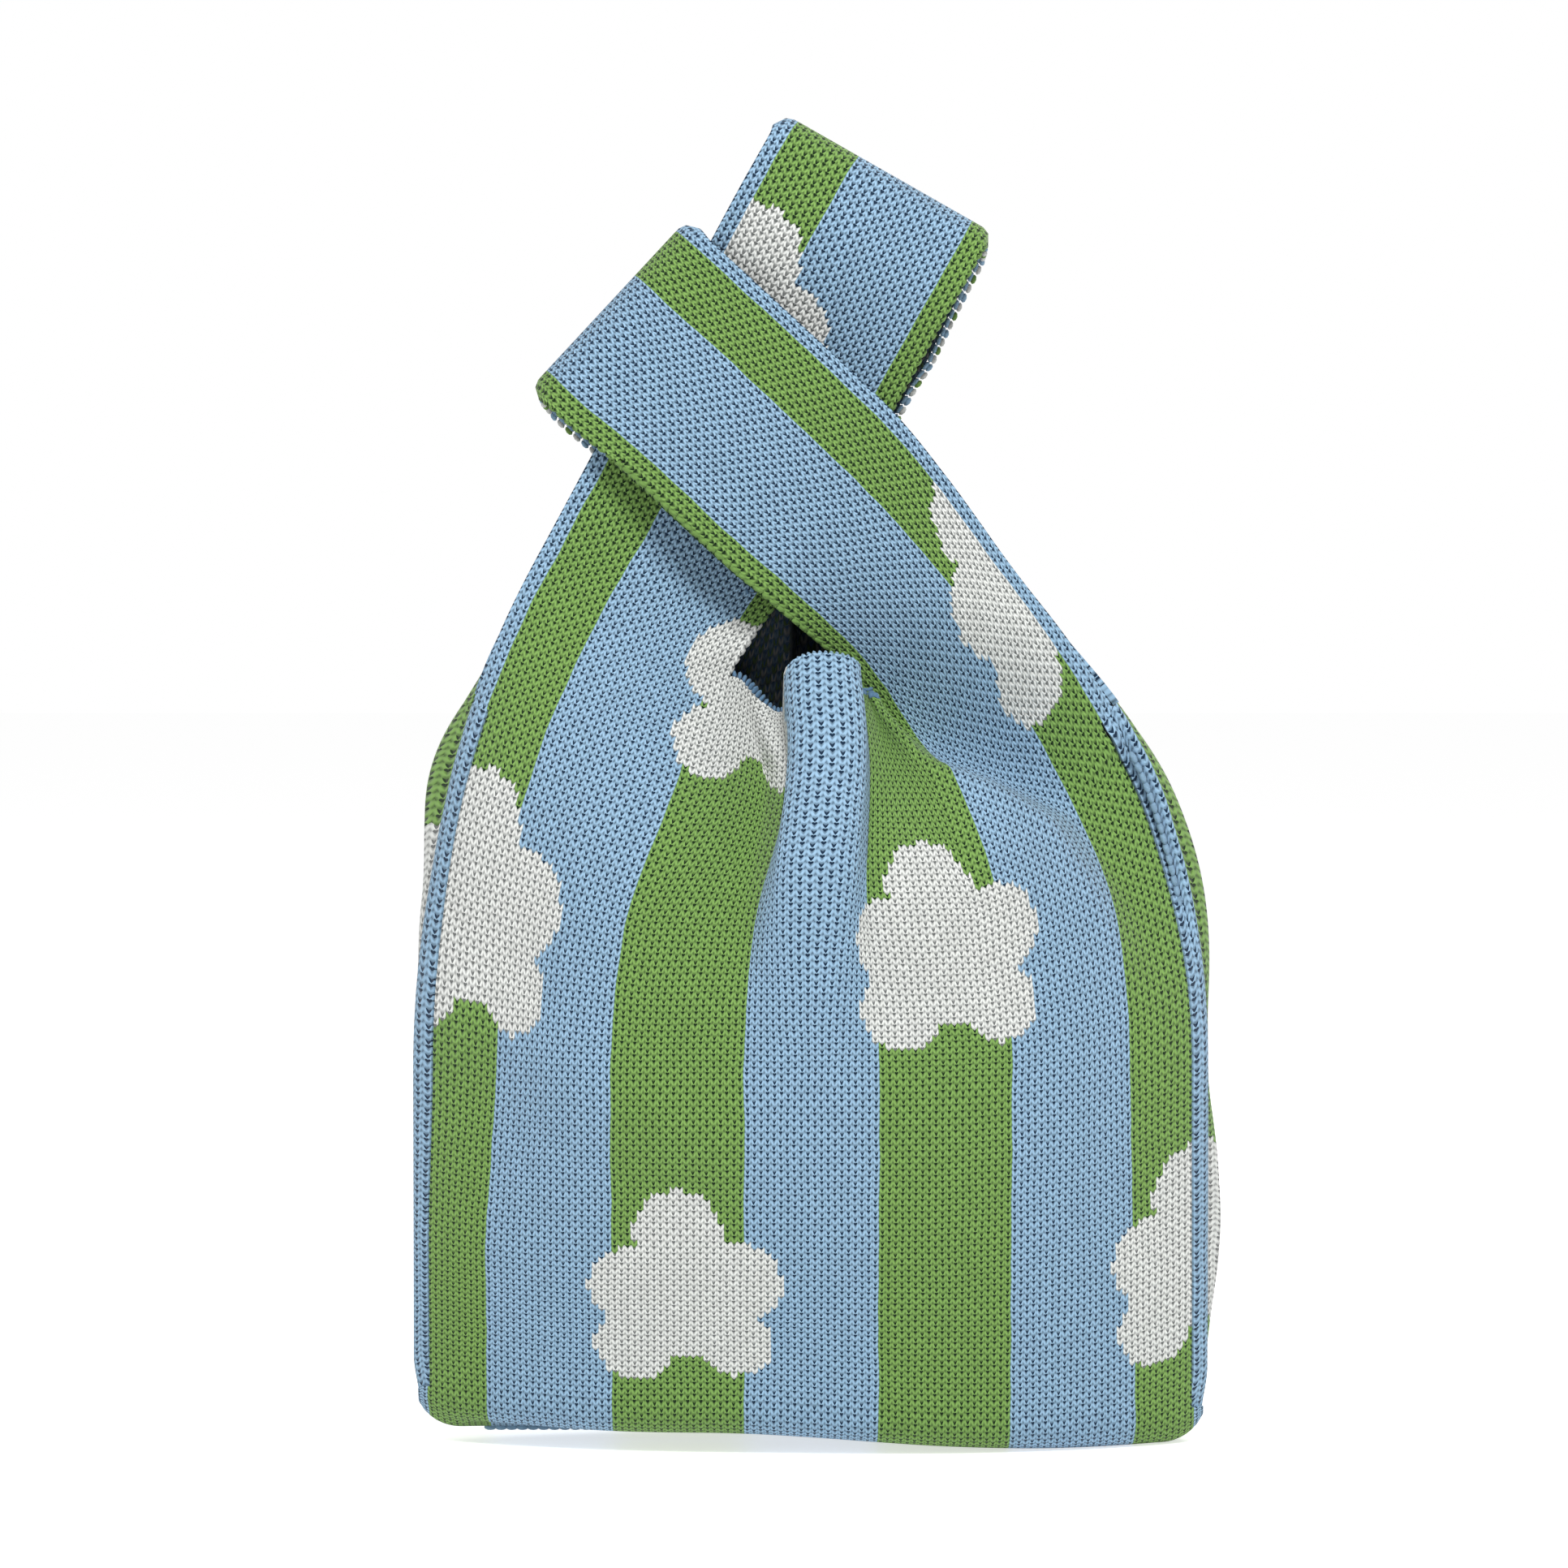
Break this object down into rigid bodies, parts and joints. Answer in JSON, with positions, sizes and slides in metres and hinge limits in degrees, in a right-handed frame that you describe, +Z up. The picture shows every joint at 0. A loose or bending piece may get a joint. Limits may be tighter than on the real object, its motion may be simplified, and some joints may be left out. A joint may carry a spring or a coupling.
{
  "type": "knot bag",
  "caption": "Soft knit bag that stands on its base; a long strap goes through the loop of a short strap to draw the mouth shut and ends in a carrying loop.",
  "frame": {"origin": "on the floor, under the middle of the bag", "axes": "+Z up, +X to the right seen from the front, the front faces -Y"},
  "size_m": [0.2154, 0.0788, 0.3559],
  "materials": {
    "knit_panel": "fine jacquard knit",
    "knit_blue": "fine knit",
    "knit_strap": "fine jacquard knit",
    "yarn": "linked yarn chain"
  },
  "bodies": {
    "bag": {"front_panel": "knit_panel", "back_panel": "knit_panel", "base_panel": "knit_panel", "left_side_band": "knit_blue", "right_side_band": "knit_blue", "left_side_seam": "yarn", "right_side_seam": "yarn", "bottom_seam": "yarn", "mouth_edge_front": "knit_blue", "mouth_edge_back": "knit_blue"},
    "long_handle": {"long_strap_front": "knit_strap", "long_strap_back": "knit_strap"},
    "short_handle": {"short_loop": "knit_strap", "short_loop_seam": "yarn"},
    "carrying_end": {"carry_loop": "knit_strap", "carry_loop_seam": "yarn"}
  },
  "joints": [
    {"name": "handles_swing", "type": "hinge", "parent": "bag", "child": "long_handle", "pos_m": [0, 0, 0.248], "axis": [1, 0, 0], "range_deg": [-40, 40]},
    {"name": "loop_slide", "type": "slide", "parent": "long_handle", "child": "short_handle", "axis": [0.4939, 0, 0.8695], "range_m": [0, 0.008]},
    {"name": "carry_loop_fold", "type": "hinge", "parent": "long_handle", "child": "carrying_end", "pos_m": [0.00947, 0, 0.31739], "axis": [0.8695, 0, -0.4939], "range_deg": [-45, 45]}
  ]
}
